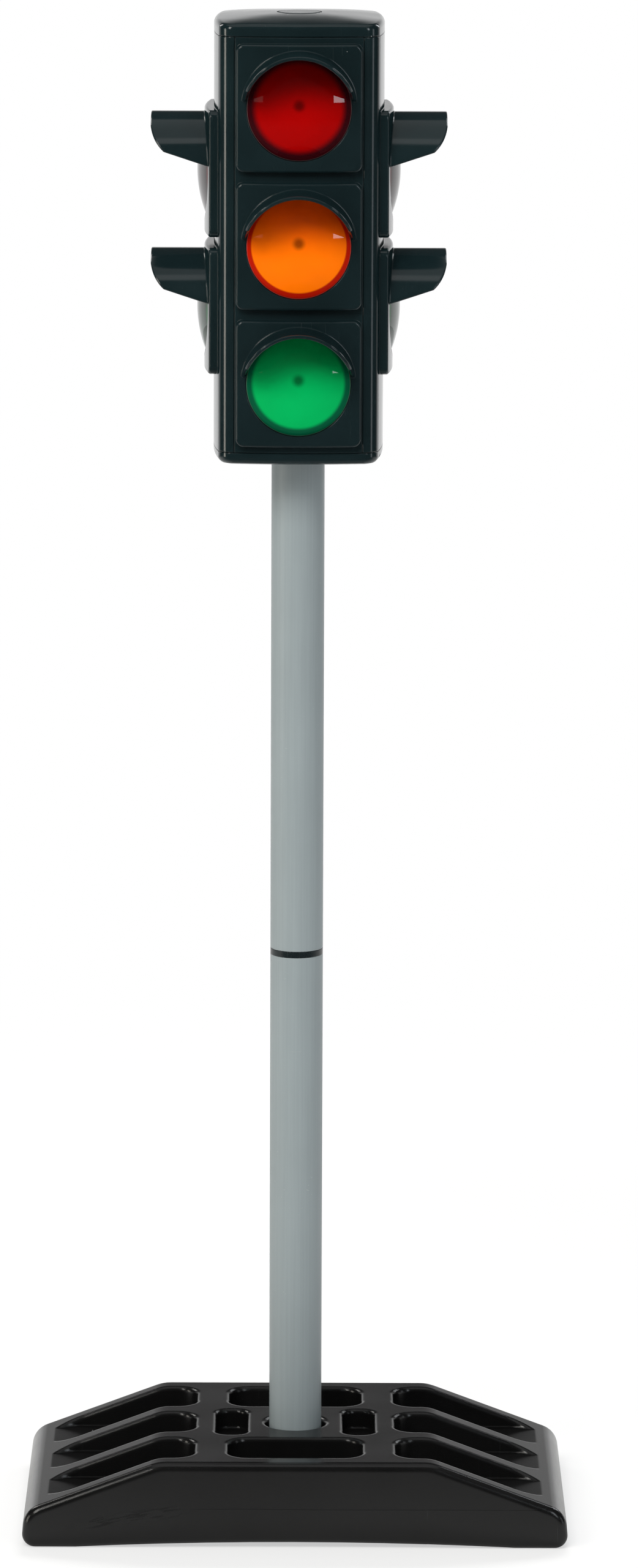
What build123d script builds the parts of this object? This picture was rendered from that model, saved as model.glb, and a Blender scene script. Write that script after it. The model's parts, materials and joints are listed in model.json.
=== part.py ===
from build123d import *
from math import cos, hypot, radians, sin, sqrt
import os

os.makedirs("parts", exist_ok=True)

# Free-standing toy traffic light: slotted base, two-piece pole and a four-sided lamp head.
# Millimetres. +Z up, origin at the centre of the base's underside, front faces -Y.
#
# Pieces on the four sides of the head are drawn in a "lamp frame": X runs across the side,
# Y is the height above the ground and Z is the distance outwards from the pole's axis.

# ---------------------------------------------------------------- driving dimensions
TOTAL_HEIGHT = 720.0
FIT_GAP = 0.08            # radial running clearance between pieces that turn or slide
TOUCH_GAP = 0.1           # gap between pieces that only rest against each other
SPRING_GAP = 0.05         # gap at the ends of springs, wires and flat contacts
CUT_PAST = 1.0            # how far a cutting shape runs past the surface it opens

# base
BASE_LENGTH = 259.4
BASE_DEPTH = 149.0
BASE_HEIGHT = 41.6
BASE_END_HEIGHT = 17.8    # height at which the slope meets the end face
BASE_END_DRAFT = 1.5
BASE_TOP_HALF = 64.6      # half length of the level top
BASE_ARCH_RISE = 2.5      # the underside bows up between the two resting ends
BASE_ARCH_HALF = 104.0
BASE_EDGE_RADIUS = 3.8
BASE_FOOT_RADIUS = 6.0
BASE_TIP_RADIUS = 11.0
BASE_BEND_RADIUS = 20.0
BASE_WALL = 2.6
POCKET_FLOOR = 18.2
POCKET_FLOOR_RADIUS = 1.0
END_POCKET_FLOOR = 21.9   # the slope runs down to this floor, so the pocket is open at its outer end
END_POCKET_CUT = 12.0     # depth the end pockets are first cut to, so that their rims can be rounded
POCKET_DEPTH_Y = 33.6     # width of one pocket from front to back
POCKET_PITCH_Y = 45.6
POCKET_CORNER = 10.0
RIM_RADIUS = 2.0          # rounded rims of the pockets and of the pole's well
END_POCKET_X = (48.0, 119.1)
END_POCKET_REFILL = (45.0, 127.0)
MID_POCKET_HALF = 31.8
ROUND_END_TRIM = 0.05     # a round pocket end is this much short of a full half circle
SIDE_POCKET_X = (23.0, 38.0)
SIDE_POCKET_DEPTH_Y = 44.0
SIDE_POCKET_FLOOR = 32.2
SIDE_POCKET_CORNER = 6.5
WELL_MOUTH_RADIUS = 14.3
WELL_MOUTH_DEPTH = 5.0
WELL_FLOOR = 6.0
RIM_TOLERANCE = 0.6       # how far a rim may lie from the plain top when it is looked for

# pole
TUBE_RADIUS = 12.5
TUBE_WALL = 1.3
RING_BOTTOM = 272.4
RING_TOP = 275.5
COUPLER_PLUG = 25.0
COUPLER_BORE_RADIUS = 8.5
COUPLER_CHAMFER = 1.0

# head
HEAD_BOTTOM = 512.6
LOWER_SEAM = 518.3
UPPER_SEAM = 711.5
SEAM_GAP = 0.25
HEAD_HALF = 39.7          # half width at the middle of each side
HEAD_BOW = 197.0          # radius of the gentle bow of each side
HEAD_CORNER = 8.0
HEAD_WALL = 2.4
POLE_TOP = 547.6          # the pole ends inside the head's socket
SOCKET_ROOF = 2.0
WINDOW_HALF = 30.0        # half width of the window that a panel fills
POST_INNER = 33.0
TONGUE_OUT = 36.0
TONGUE_IN = 34.9
TONGUE_HALF = 32.0
TONGUE_WIDTH = 4.0
HOOP_OUTER = 34.4
HOOP_INNER = 31.4
HOOP_HEIGHT = 7.0
CHANNEL_POSITION = 31.5   # screw channel in each corner post
CHANNEL_RADIUS = 3.2
CHANNEL_PILOT = 1.55
CHANNEL_PILOT_DEPTH = 16.0
TAB_HALF = 22.0
TAB_THICKNESS = 2.0
TAB_REACH = 5.0
CAP_CROWN = 310.0         # radius of the cap's pillow-shaped top along each middle line
CAP_GRID_REACH = 44.0     # the top's skin is drawn through a square grid of points
CAP_GRID_STEPS = 8
CAP_EDGE_RADIUS = 2.6
LOWER_EDGE_RADIUS = 3.4
LOWER_CAP_FLOOR = 2.6
LOWER_CAP_BOSS = 5.0
CAP_SCREW_HOLE = 1.7
CAP_SCREW_RECESS = 3.0
CAP_SCREW_RECESS_DEPTH = 2.4
CAP_SCREW = (2.8, 2.0, 1.5, 15.0)        # head radius and height, shank radius and length

# lamp modules
LAMP_PITCH = 64.0
LAMP_MIDDLE = 615.0       # height of the middle lamp on the front and rear
MODULE_SIZE = (58.2, 59.0)
MODULE_CORNER = 3.6
MODULE_HALF = 44.1        # distance of the module's face from the pole's axis
MODULE_BOW = 172.0
MODULE_EDGE_RADIUS = 1.2
MODULE_STOCK = 12.0       # depth of the sheet a module's face is cut from
MODULE_OVER = 0.5         # height of a module above its face before the face is cut
RELIEF_SIZE = (53.2, 52.8)               # hollow behind a module, round the lens seat
RELIEF_DEPTH = 2.5
RELIEF_RING = 28.4
OPENING_RADIUS = 24.4
SEAT_RADIUS = 26.8
SEAT_DEPTH = 39.6
HOOD_OUTER = 26.6
HOOD_INNER = 24.8
HOOD_TIP = 69.0
HOOD_CORNER = (62.8, 9.8)
HOOD_ROOT = (42.0, 3.2)
HOOD_LIP = (68.0, 17.2)
HOOD_LIP_RADIUS = 0.7
HOOD_ROOT_RADIUS = 0.6

# lenses, reflectors and lamp boards
LENS_RADIUS = 24.2
LENS_WALL = 1.8
LENS_FLANGE = 26.6
LENS_SHOULDER = 42.2
LENS_CROWN = 47.5
LENS_BACK = 37.8
CUP_RADIUS = 22.0
CUP_WALL = 1.2
CUP_BACK = 23.0
CUP_NECK = 6.0
CUP_FLANGE = 1.4
CUP_MIDDLE_IN = (17.0, 29.0)
CUP_MIDDLE_OUT = (18.0, 28.0)
LED_RADIUS = 2.5
LED_LENGTH = 7.0
LED_RIM_RADIUS = 2.9
LED_RIM_HEIGHT = 1.0
LED_GAP = 0.5
BOARD_FRONT = 22.9
BOARD_THICKNESS = 1.6
BOARD_HALF = 6.0
BOARD_REACH = 78.0
BOARD_CORNER = 1.0
BOSS_RADIUS = 3.0
BOSS_OVERLAP = 0.5
SMALL_PILOT = 1.15
SMALL_HOLE = 1.2
BOARD_SCREW = (2.0, 1.4, 1.1, 8.0)
CONTROL_SCREW = (2.0, 1.4, 1.1, 12.0)

# button, switch board and battery holder, all carried by the top cap
BUTTON_RADIUS = 10.0
BUTTON_HOLE = 10.5
BUTTON_TRAVEL = 2.2
BUTTON_EDGE_RADIUS = 0.8
BUTTON_FLANGE = 12.0
FLANGE_GAP = 0.3
FLANGE_TOP = 708.0
FLANGE_HEIGHT = 2.0
STEM_RADIUS = 2.5
BUTTON_COIL = (5.4, 0.4)                 # coil radius and wire radius
BUTTON_COIL_TURNS = 5
SLEEVE_RADIUS = 14.0
SLEEVE_BOTTOM = 701.5
SWITCH_BOARD_TOP = 693.6
SWITCH_BOARD_HALF = 19.0
SWITCH_BOARD_CORNER = 1.5
SWITCH_SIDE = 6.0
SWITCH_CORNER = 0.4
SWITCH_BODY = 3.5
SWITCH_HEIGHT = 4.2
PLUNGER_RADIUS = 1.75
PLUNGER_ROOT = 0.5
CHIP_SIZE = (7.0, 5.0)
CHIP_HEIGHT = 1.6
CHIP_PLACE = (-11.0, 7.0)
CAP_POST_POSITION = 15.5
CAP_POST_RADIUS = 2.7
CELL_RADIUS = 7.1
CELL_EDGE_RADIUS = 0.6
CELL_GAP = 0.25
CELL_CIRCLE = 9.1
CELL_BOTTOM = 641.0
CELL_LENGTH = 50.5
NUB_LENGTH = 1.3
NUB_RADIUS = 2.7
NUB_ROOT = 0.5
CONTACT_RADIUS = 5.0
CONTACT_COIL = (4.0, 0.35)
CONTACT_COIL_TURNS = 3
HOLDER_RADIUS = 18.0
HOLDER_BOTTOM = 634.0
HOLDER_FLOOR = 2.0
HOLDER_FLANGE = 2.0
HOLDER_INSET = 0.4
LEAD_RADIUS = 0.6
LEAD_BOTTOM = 684.0
LEAD_TOP = 697.0
LEAD_INNER = 16.0
LEAD_BEND = 1.5

# lamps on each side: name, turn about the pole's axis, and the colour and height of each lamp
LOW, HIGH = LAMP_MIDDLE - LAMP_PITCH, LAMP_MIDDLE + LAMP_PITCH
SIDE_LOW, SIDE_HIGH = LAMP_MIDDLE - LAMP_PITCH / 2, LAMP_MIDDLE + LAMP_PITCH / 2
THREE_LAMPS = {"red": HIGH, "amber": LAMP_MIDDLE, "green": LOW}
TWO_LAMPS = {"red": SIDE_HIGH, "green": SIDE_LOW}
SIDES = {
    "front": (0, THREE_LAMPS),
    "rear": (180, THREE_LAMPS),
    "left": (-90, TWO_LAMPS),
    "right": (90, TWO_LAMPS),
}
CORNERS = [(x, y) for x in (-1, 1) for y in (-1, 1)]
PANEL_HEIGHT = UPPER_SEAM - LOWER_SEAM
BOARD_BACK = BOARD_FRONT - BOARD_THICKNESS
SWITCH_BOARD_BOTTOM = SWITCH_BOARD_TOP - BOARD_THICKNESS
NUB_TOP = CELL_BOTTOM + CELL_LENGTH
BIG = 200.0


# ---------------------------------------------------------------- helpers
def save(shape, name):
    """Write one node as a STEP file."""
    shape.label = name
    export_step(shape, f"parts/{name}.step")


def post(radius, bottom, top, x=0.0, y=0.0):
    """Upright cylinder between two heights."""
    return Pos(x, y, bottom) * extrude(Circle(radius), top - bottom)


def block(width, depth, bottom, top, x=0.0, y=0.0, corner=0.0):
    """Upright block between two heights, with rounded plan corners if asked."""
    outline = RectangleRounded(width, depth, corner) if corner else Rectangle(width, depth)
    return Pos(x, y, bottom) * extrude(outline, top - bottom)


def bow(half, radius, across):
    """Distance from the axis of a bowed side, at a distance across it."""
    return half - radius + sqrt(radius**2 - across**2)


def bowed_square(inset=0.0):
    """Plan outline of the head: four bowed sides with rounded corners."""
    radius = HEAD_BOW - inset
    shift = HEAD_HALF - HEAD_BOW
    corner = (shift + sqrt(2 * radius**2 - shift**2)) / 2
    middle = HEAD_HALF - inset
    arcs = [
        ThreePointArc((-corner, -corner), (0, -middle), (corner, -corner)),
        ThreePointArc((corner, -corner), (middle, 0), (corner, corner)),
        ThreePointArc((corner, corner), (0, middle), (-corner, corner)),
        ThreePointArc((-corner, corner), (-middle, 0), (-corner, -corner)),
    ]
    outline = make_face(Wire(arcs))
    return fillet(outline.vertices(), HEAD_CORNER - inset)


def square_ring(outer, inner, bottom, top):
    """Square hoop around the pole's axis."""
    return block(2 * outer, 2 * outer, bottom, top) - block(2 * inner, 2 * inner, bottom, top)


def on_side(shape, turn):
    """Move a shape from the lamp frame to its side of the head."""
    return Rot(0, 0, turn) * Rot(90, 0, 0) * shape


def lamp_turned(points_and_arcs, height):
    """Turn a closed outline, radius across and distance outwards, about a lamp's own axis."""
    outline = make_face(Wire(points_and_arcs))
    return Pos(0, height, 0) * revolve(Plane.XZ * outline, Axis.Z)


def coil(radius, wire, bottom, top, turns, x=0.0, y=0.0):
    """Compression spring of round wire, its ends between two heights."""
    rise = top - bottom - 2 * wire
    path = Helix(pitch=rise / turns, height=rise, radius=radius)
    section = Plane(origin=path @ 0, z_dir=path % 0) * Circle(wire)
    return Pos(x, y, bottom + wire) * sweep(section, path=path, is_frenet=True)


def screw(head_radius, head_height, shank_radius, length):
    """Pan-head screw with a cross recess, its head's underside at Z 0 and the shank along +Z."""
    body = Pos(0, 0, -head_height) * extrude(Circle(head_radius), head_height)
    body = fillet(body.faces().sort_by(Axis.Z)[0].edges(), head_height / 3)
    body += extrude(Circle(shank_radius), length)
    slot = Box(head_radius, head_radius / 4, head_height)
    return body - Pos(0, 0, -head_height) * (slot + Rot(0, 0, 90) * slot)


# ---------------------------------------------------------------- base
def base_outline(inset=0.0):
    """Front outline of the base: level top, two slopes, short ends and a bowed underside."""
    half = BASE_LENGTH / 2
    sides = Polyline(
        (BASE_ARCH_HALF, 0),
        (half, 0),
        (half - BASE_END_DRAFT, BASE_END_HEIGHT),
        (BASE_TOP_HALF, BASE_HEIGHT),
        (-BASE_TOP_HALF, BASE_HEIGHT),
        (BASE_END_DRAFT - half, BASE_END_HEIGHT),
        (-half, 0),
        (-BASE_ARCH_HALF, 0),
    )
    arch = ThreePointArc((-BASE_ARCH_HALF, 0), (0, BASE_ARCH_RISE), (BASE_ARCH_HALF, 0))
    outline = make_face(Wire([*sides.edges(), arch]))
    corners = outline.vertices()
    foot = corners.filter_by(lambda v: abs(v.X) > half - 0.1)
    outline = fillet(foot, BASE_FOOT_RADIUS)
    tip = outline.vertices().filter_by(lambda v: abs(v.Y - BASE_END_HEIGHT) < 0.01)
    outline = fillet(tip, BASE_TIP_RADIUS)
    bend = outline.vertices().filter_by(lambda v: abs(v.Y - BASE_HEIGHT) < 0.01)
    outline = fillet(bend, BASE_BEND_RADIUS)
    return offset(outline, -inset) if inset else outline


def top_height(x):
    """Height of the base's top at a distance along it."""
    half = BASE_LENGTH / 2
    slope = (BASE_HEIGHT - BASE_END_HEIGHT) / (half - BASE_END_DRAFT - BASE_TOP_HALF)
    return BASE_HEIGHT - max(0, abs(x) - BASE_TOP_HALF) * slope


def is_rim(edge):
    """True for an edge where a pocket or the well meets the base's top."""
    points = [edge @ part for part in (0, 0.5, 1)]
    on_top = all(abs(point.Z - top_height(point.X)) < RIM_TOLERANCE for point in points)
    across_limit = BASE_DEPTH / 2 - BASE_EDGE_RADIUS - RIM_TOLERANCE
    along_limit = END_POCKET_X[1] + RIM_TOLERANCE
    inside = all(abs(point.Y) < across_limit and abs(point.X) < along_limit for point in points)
    at_bend = abs(abs(points[1].X) - BASE_TOP_HALF) < BASE_BEND_RADIUS / 4
    is_bend_line = at_bend and abs(edge.tangent_at(0.5).Y) > 0.99
    return on_top and inside and not is_bend_line


def end_pocket(floor, grow=0.0):
    """Cutting block of the middle end pocket at +X: round outer end, smaller inner corners."""
    length = END_POCKET_X[1] - END_POCKET_X[0] + 2 * grow
    depth = POCKET_DEPTH_Y + 2 * grow
    outline = Rectangle(length, depth)
    outline = fillet(outline.vertices().sort_by(Axis.X)[-2:], depth / 2 - ROUND_END_TRIM)
    outline = fillet(outline.vertices().sort_by(Axis.X)[:2], POCKET_CORNER + grow)
    bottom = floor - grow
    return Pos(sum(END_POCKET_X) / 2, 0, bottom) * extrude(outline, BASE_HEIGHT + CUT_PAST - bottom)


def end_pockets(floor, grow=0.0):
    """Cutting blocks of all six end pockets."""
    pocket = end_pocket(floor, grow)
    rows = [Pos(0, row * POCKET_PITCH_Y, 0) * pocket for row in (-1, 0, 1)]
    return rows + [Rot(0, 0, 180) * piece for piece in rows]


def level_pockets(grow=0.0):
    """Cutting blocks of the four pockets in the level top, before their floors are rounded."""
    side_length = SIDE_POCKET_X[1] - SIDE_POCKET_X[0] + 2 * grow
    side_size = (side_length, SIDE_POCKET_DEPTH_Y + 2 * grow)
    mid_size = (2 * (MID_POCKET_HALF + grow), POCKET_DEPTH_Y + 2 * grow)
    side_corner, mid_corner = SIDE_POCKET_CORNER + grow, POCKET_CORNER + grow
    side_floor, mid_floor = SIDE_POCKET_FLOOR - grow, POCKET_FLOOR - grow
    top = BASE_HEIGHT + CUT_PAST
    blocks = []
    for hand in (-1, 1):
        side_x = hand * sum(SIDE_POCKET_X) / 2
        blocks.append(block(*side_size, side_floor, top, x=side_x, corner=side_corner))
        blocks.append(block(*mid_size, mid_floor, top, y=hand * POCKET_PITCH_Y, corner=mid_corner))
    return blocks


def make_base():
    """Hollow blow-moulded base with blind pockets and a well for the pole."""
    plain = extrude(Plane.XZ * base_outline(), BASE_DEPTH / 2, both=True)
    rims = plain.edges().filter_by(lambda e: abs(abs(e.center().Y) - BASE_DEPTH / 2) < 0.01)
    plain = fillet(rims, BASE_EDGE_RADIUS)
    body = plain
    for pocket in level_pockets():
        body -= fillet(pocket.faces().sort_by(Axis.Z)[0].edges(), POCKET_FLOOR_RADIUS)
    for pocket in end_pockets(END_POCKET_CUT):
        body -= pocket
    body -= post(WELL_MOUTH_RADIUS, BASE_HEIGHT - WELL_MOUTH_DEPTH, BASE_HEIGHT + CUT_PAST)
    body = fillet(body.edges().filter_by(is_rim), RIM_RADIUS)
    refill_length = END_POCKET_REFILL[1] - END_POCKET_REFILL[0]
    for hand in (-1, 1):
        refill_x = hand * sum(END_POCKET_REFILL) / 2
        body += plain & block(refill_length, BASE_DEPTH, 0, END_POCKET_FLOOR, x=refill_x)
    body -= post(TUBE_RADIUS + FIT_GAP, WELL_FLOOR, BASE_HEIGHT)
    cavity = extrude(Plane.XZ * base_outline(BASE_WALL), BASE_DEPTH / 2 - BASE_WALL, both=True)
    for pocket in level_pockets(BASE_WALL) + end_pockets(END_POCKET_FLOOR, BASE_WALL):
        cavity -= pocket
    cavity -= post(WELL_MOUTH_RADIUS + BASE_WALL, 0, BASE_HEIGHT)
    return body - cavity


# ---------------------------------------------------------------- pole
def tube(bottom, top):
    """Plain round tube of the pole."""
    return post(TUBE_RADIUS, bottom, top) - post(TUBE_RADIUS - TUBE_WALL, bottom, top)


def make_coupler():
    """Joint ring with a plug up and a plug down, bored through."""
    plug = TUBE_RADIUS - TUBE_WALL - FIT_GAP
    coupler = post(plug, RING_BOTTOM - COUPLER_PLUG, RING_TOP + COUPLER_PLUG)
    ends = [coupler.faces().sort_by(Axis.Z)[i].edges() for i in (0, -1)]
    coupler = chamfer(ends[0] + ends[1], COUPLER_CHAMFER)
    coupler += post(TUBE_RADIUS, RING_BOTTOM, RING_TOP)
    return coupler - post(COUPLER_BORE_RADIUS, RING_BOTTOM - BIG, RING_TOP + BIG)


# ---------------------------------------------------------------- head shell
def make_head_core():
    """Four corner posts with panel grooves and screw channels, joined by two hoops."""
    core = Pos(0, 0, LOWER_SEAM) * extrude(bowed_square(), PANEL_HEIGHT)
    for turned in (0, 90):
        core -= Rot(0, 0, turned) * block(2 * WINDOW_HALF, BIG, LOWER_SEAM, UPPER_SEAM)
    core -= block(2 * POST_INNER, 2 * POST_INNER, LOWER_SEAM, UPPER_SEAM)
    middle = (TONGUE_IN + TONGUE_OUT) / 2
    groove_width = 2 * (TONGUE_HALF + TOUCH_GAP)
    groove_depth = TONGUE_OUT - TONGUE_IN + 2 * TOUCH_GAP
    for turned in (0, 90, 180, 270):
        groove = block(groove_width, groove_depth, LOWER_SEAM, UPPER_SEAM, y=middle)
        core -= Rot(0, 0, turned) * groove
    for x, y in CORNERS:
        core += post(CHANNEL_RADIUS, LOWER_SEAM, UPPER_SEAM, x * CHANNEL_POSITION, y * CHANNEL_POSITION)
    core += square_ring(HOOP_OUTER, HOOP_INNER, LOWER_SEAM, LOWER_SEAM + HOOP_HEIGHT)
    core += square_ring(HOOP_OUTER, HOOP_INNER, UPPER_SEAM - HOOP_HEIGHT, UPPER_SEAM)
    for x, y in CORNERS:
        place = (x * CHANNEL_POSITION, y * CHANNEL_POSITION)
        core -= post(CHANNEL_PILOT, LOWER_SEAM, LOWER_SEAM + CHANNEL_PILOT_DEPTH, *place)
    return core


def bowed_strip(half, radius, thickness, half_width):
    """Cross-section of a bowed sheet in the X-Z plane of the lamp frame."""
    edge_out = bow(half, radius, half_width)
    edge_in = bow(half - thickness, radius - thickness, half_width)
    outline = [
        ThreePointArc((-half_width, edge_out), (0, half), (half_width, edge_out)),
        Line((half_width, edge_out), (half_width, edge_in)),
        ThreePointArc((half_width, edge_in), (0, half - thickness), (-half_width, edge_in)),
        Line((-half_width, edge_in), (-half_width, edge_out)),
    ]
    return make_face(Wire(outline))


def lamp_prism(section, bottom, top):
    """Extrude an X-Z section of the lamp frame between two heights."""
    return Pos(0, top, 0) * extrude(Plane.XZ * section, top - bottom)


def make_module():
    """Raised lamp module with a gently bowed face, centred on height 0."""
    root = HEAD_HALF - HEAD_WALL
    outline = Pos(0, 0, root) * RectangleRounded(*MODULE_SIZE, MODULE_CORNER)
    module = extrude(outline, MODULE_HALF + MODULE_OVER - root)
    module &= lamp_prism(bowed_strip(MODULE_HALF, MODULE_BOW, MODULE_STOCK, MODULE_HALF), -BIG, BIG)
    face = module.faces().sort_by(Axis.Z)[-1]
    module = fillet(face.edges(), MODULE_EDGE_RADIUS)
    relief = Rectangle(*RELIEF_SIZE) - Circle(RELIEF_RING)
    return module - Pos(0, 0, root) * extrude(relief, RELIEF_DEPTH)


def make_hood():
    """Half-round visor over one lamp, cut to its swept side outline, centred on height 0."""
    ring = extrude(Circle(HOOD_OUTER) - Circle(HOOD_INNER), HOOD_TIP)
    top = HOOD_OUTER + CUT_PAST
    side = [
        *Polyline(HOOD_CORNER, HOOD_ROOT, (HOOD_ROOT[0], top), (HOOD_TIP, top),
                  (HOOD_TIP, HOOD_OUTER)).edges(),
        ThreePointArc((HOOD_TIP, HOOD_OUTER), HOOD_LIP, HOOD_CORNER),
    ]
    side_plane = Plane(origin=(0, 0, 0), x_dir=(0, 0, 1), z_dir=(-1, 0, 0))
    hood = ring & extrude(side_plane * make_face(Wire(side)), BIG, both=True)
    free_edges = hood.edges().filter_by(lambda edge: (edge @ 0.5).Z > HOOD_ROOT[0] + 0.1)
    return fillet(free_edges, HOOD_LIP_RADIUS)


def is_hood_root(edge):
    """True for the edge where the outside of a hood meets the module's face."""
    points = [edge @ part for part in (0.1, 0.5, 0.9)]
    on_hood = all(abs(sqrt(point.X**2 + point.Y**2) - HOOD_OUTER) < 0.3 for point in points)
    on_face = all(abs(point.Z - bow(MODULE_HALF, MODULE_BOW, point.X)) < 0.05 for point in points)
    return on_hood and on_face


def make_housing():
    """Module, hood and lamp opening as one moulded lump, centred on height 0."""
    housing = make_module() + make_hood() - extrude(Circle(OPENING_RADIUS), BIG)
    return fillet(housing.edges().filter_by(is_hood_root), HOOD_ROOT_RADIUS)


def make_panel(lamps, screw_heights):
    """One side panel: bowed strip with edge tongues, lamp modules, hoods and board bosses."""
    strip = bowed_strip(HEAD_HALF, HEAD_BOW, HEAD_WALL, WINDOW_HALF - SEAM_GAP)
    panel = lamp_prism(strip, LOWER_SEAM, UPPER_SEAM)
    middle = (TONGUE_IN + TONGUE_OUT) / 2
    for hand in (-1, 1):
        tongue = Pos(hand * (TONGUE_HALF - TONGUE_WIDTH / 2), middle)
        tongue *= Rectangle(TONGUE_WIDTH, TONGUE_OUT - TONGUE_IN)
        panel += lamp_prism(tongue, LOWER_SEAM, UPPER_SEAM)
    housing = make_housing()
    for height in lamps:
        panel -= Pos(0, height, 0) * extrude(Circle(OPENING_RADIUS), BIG)
        panel += Pos(0, height, 0) * housing
        panel -= Pos(0, height, 0) * extrude(Circle(SEAT_RADIUS), SEAT_DEPTH)
    for height in screw_heights:
        boss_length = HEAD_HALF - HEAD_WALL - BOARD_FRONT + BOSS_OVERLAP
        boss = extrude(Circle(BOSS_RADIUS) - Circle(SMALL_PILOT), boss_length)
        panel += Pos(0, height, BOARD_FRONT) * boss
    return panel


def crowned_block(bottom, inset=0.0):
    """Block with the head's plan outline and the cap's pillow-shaped top, or the hollow inside it."""
    top = TOTAL_HEIGHT - inset
    steps = [CAP_GRID_REACH * (2 * i / CAP_GRID_STEPS - 1) for i in range(CAP_GRID_STEPS + 1)]
    grid = [[Vector(x, y, top - hypot(x**2, y**2) / (2 * CAP_CROWN)) for x in steps] for y in steps]
    skin = Face.make_surface_from_array_of_points(grid)
    under_skin = extrude(skin, top - bottom, dir=(0, 0, -1))
    prism = Pos(0, 0, bottom) * extrude(bowed_square(inset), top - bottom)
    return prism & under_skin


def make_top_cap():
    """Top cap with button sleeve, locating tabs and posts for the switch board."""
    cap = crowned_block(UPPER_SEAM + SEAM_GAP)
    cap = fillet(cap.faces().sort_by(Axis.Z)[-1].edges(), CAP_EDGE_RADIUS)
    ceiling = TOTAL_HEIGHT - HEAD_WALL
    cap -= crowned_block(UPPER_SEAM, HEAD_WALL)
    cap += post(SLEEVE_RADIUS, SLEEVE_BOTTOM, ceiling)
    cap -= post(BUTTON_HOLE, SLEEVE_BOTTOM, TOTAL_HEIGHT)
    cap -= post(BUTTON_FLANGE + FLANGE_GAP, SLEEVE_BOTTOM, FLANGE_TOP + TOUCH_GAP)
    for x, y in CORNERS:
        place = (x * CAP_POST_POSITION, y * CAP_POST_POSITION)
        cap += post(CAP_POST_RADIUS, SWITCH_BOARD_TOP, ceiling, *place)
        cap -= post(SMALL_PILOT, SWITCH_BOARD_TOP, SWITCH_BOARD_TOP + CONTROL_SCREW[3], *place)
    return cap + locating_tabs(UPPER_SEAM - TAB_REACH, ceiling)


def locating_tabs(bottom, top):
    """Four straight tabs that drop inside the head core's hoop."""
    middle = HOOP_INNER - TOUCH_GAP - TAB_THICKNESS / 2
    tab = block(2 * TAB_HALF, TAB_THICKNESS, bottom, top, y=middle)
    return [Rot(0, 0, turn) * tab for turn in (0, 90, 180, 270)]


def make_bottom_cap():
    """Bottom cap with a blind socket that turns on the top of the pole."""
    top = LOWER_SEAM - SEAM_GAP
    cap = Pos(0, 0, HEAD_BOTTOM) * extrude(bowed_square(), top - HEAD_BOTTOM)
    cap = fillet(cap.faces().sort_by(Axis.Z)[0].edges(), LOWER_EDGE_RADIUS)
    floor = HEAD_BOTTOM + LOWER_CAP_FLOOR
    hollow = Pos(0, 0, floor) * extrude(bowed_square(HEAD_WALL), LOWER_SEAM - floor)
    for x, y in CORNERS:
        hollow -= post(LOWER_CAP_BOSS, floor, LOWER_SEAM, x * CHANNEL_POSITION, y * CHANNEL_POSITION)
    cap -= hollow
    cap += locating_tabs(floor, LOWER_SEAM + TAB_REACH)
    cap += post(TUBE_RADIUS + HEAD_WALL, floor - CUT_PAST, POLE_TOP + SOCKET_ROOF)
    cap -= post(TUBE_RADIUS + FIT_GAP, HEAD_BOTTOM - CUT_PAST, POLE_TOP + TOUCH_GAP)
    for x, y in CORNERS:
        place = (x * CHANNEL_POSITION, y * CHANNEL_POSITION)
        cap -= post(CAP_SCREW_HOLE, HEAD_BOTTOM, LOWER_SEAM, *place)
        cap -= post(CAP_SCREW_RECESS, HEAD_BOTTOM, HEAD_BOTTOM + CAP_SCREW_RECESS_DEPTH, *place)
    return cap


# ---------------------------------------------------------------- lamp pieces
def make_lens(height):
    """Domed lens with a flange behind the module and a thin, even wall."""
    inner = LENS_RADIUS - LENS_WALL
    chord_out = sphere_point(LENS_RADIUS, LENS_SHOULDER, LENS_CROWN)
    chord_in = sphere_point(inner, LENS_SHOULDER - LENS_WALL, LENS_CROWN - LENS_WALL)
    flange_top = SEAT_DEPTH - TOUCH_GAP
    outline = [
        ThreePointArc((0, LENS_CROWN), chord_out, (LENS_RADIUS, LENS_SHOULDER)),
        *Polyline((LENS_RADIUS, LENS_SHOULDER), (LENS_RADIUS, flange_top), (LENS_FLANGE, flange_top),
                  (LENS_FLANGE, LENS_BACK), (inner, LENS_BACK), (inner, LENS_SHOULDER - LENS_WALL)).edges(),
        ThreePointArc((inner, LENS_SHOULDER - LENS_WALL), chord_in, (0, LENS_CROWN - LENS_WALL)),
        Line((0, LENS_CROWN - LENS_WALL), (0, LENS_CROWN)),
    ]
    return lamp_turned(outline, height)


def sphere_point(rim_radius, rim_depth, crown_depth):
    """Point halfway along the arc from a dome's crown to its rim."""
    rise = crown_depth - rim_depth
    radius = (rim_radius**2 + rise**2) / (2 * rise)
    across = rim_radius / 2
    return across, crown_depth - radius + sqrt(radius**2 - across**2)


def make_reflector(height):
    """Bowl-shaped reflector with a front flange and a hole for the lamp at its neck."""
    front = LENS_BACK - TOUCH_GAP
    flange_back = front - CUP_FLANGE
    neck = CUP_NECK
    foot = neck + CUP_WALL
    inside = ThreePointArc((CUP_RADIUS, front), CUP_MIDDLE_IN, (neck, CUP_BACK + CUP_WALL))
    outside = ThreePointArc((foot, CUP_BACK), CUP_MIDDLE_OUT, (CUP_RADIUS + CUP_WALL, flange_back))
    hole = LED_RADIUS + LED_GAP
    outline = [
        inside,
        *Polyline((neck, CUP_BACK + CUP_WALL), (hole, CUP_BACK + CUP_WALL), (hole, CUP_BACK),
                  (foot, CUP_BACK)).edges(),
        outside,
        *Polyline((CUP_RADIUS + CUP_WALL, flange_back), (LENS_FLANGE, flange_back),
                  (LENS_FLANGE, front), (CUP_RADIUS, front)).edges(),
    ]
    return lamp_turned(outline, height)


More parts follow.
